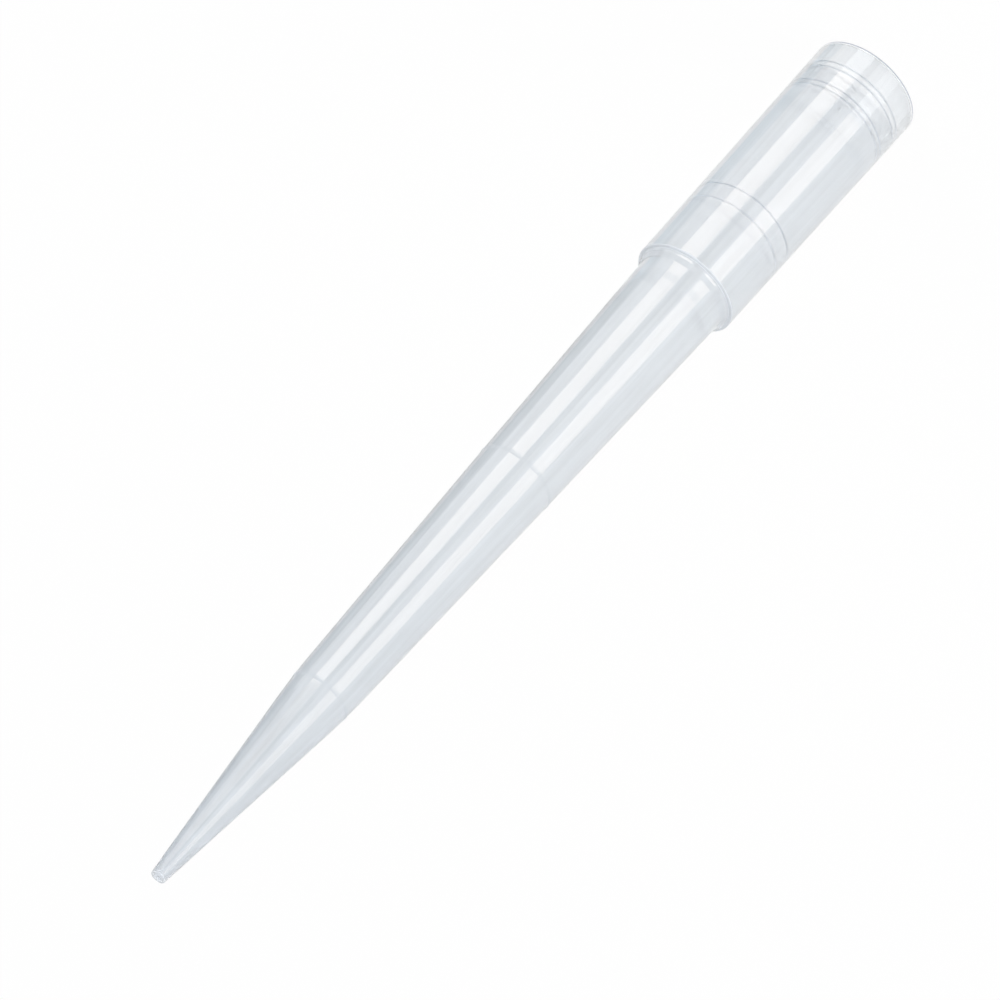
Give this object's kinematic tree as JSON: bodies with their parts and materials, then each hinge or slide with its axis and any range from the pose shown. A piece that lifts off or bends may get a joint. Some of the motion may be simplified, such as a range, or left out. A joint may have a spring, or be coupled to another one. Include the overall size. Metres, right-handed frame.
{
  "type": "pipette tip",
  "caption": "Long hollow tapered pipette tip in clear plastic, with a wide collar that grips the pipette's nose cone, a stepped ledge and raised graduation rings.",
  "frame": {"origin": "centre of the open mouth, in the plane of the rim that the tip stands on", "axes": "+Z along the tip's axis, from the mouth to the orifice; X and Y are any square pair, as the tip is a body of revolution"},
  "size_m": [0.009, 0.009, 0.088],
  "materials": {
    "clear_polypropylene": "natural translucent polypropylene, smooth and slightly milky"
  },
  "bodies": {
    "root": {"pipette_tip": "clear_polypropylene"}
  },
  "joints": []
}
